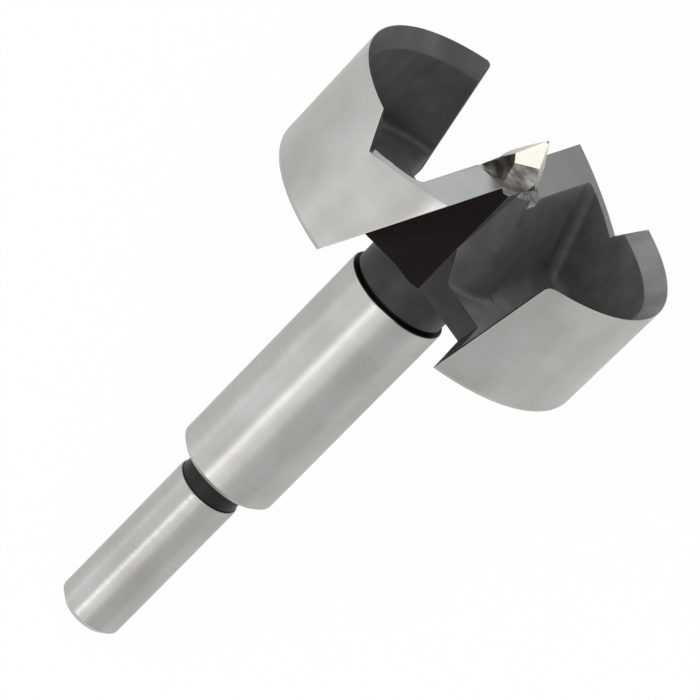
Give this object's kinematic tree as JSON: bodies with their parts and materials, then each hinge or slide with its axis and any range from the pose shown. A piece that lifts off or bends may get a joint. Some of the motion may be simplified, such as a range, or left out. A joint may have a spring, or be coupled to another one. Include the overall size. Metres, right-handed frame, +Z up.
{
  "type": "forstner bit",
  "caption": "One-piece wood-boring bit: round shank, thicker body and a cup-shaped head with rim walls, leaning chipper blades, open chip throats and a brad point",
  "frame": {"origin": "middle of the part's box on the surface it lies on", "axes": "+X along the tool from shank to point, as seen from above; +Z up; the tool's own axis rises about 14.5 degrees towards the point"},
  "size_m": [0.0912, 0.05, 0.0502],
  "materials": {
    "ground_steel": "bright ground steel outside, with lands and rim ground finer, and a semi-gloss black oxide inside the head"
  },
  "bodies": {
    "root": {"forstner_bit": "ground_steel"}
  },
  "joints": []
}
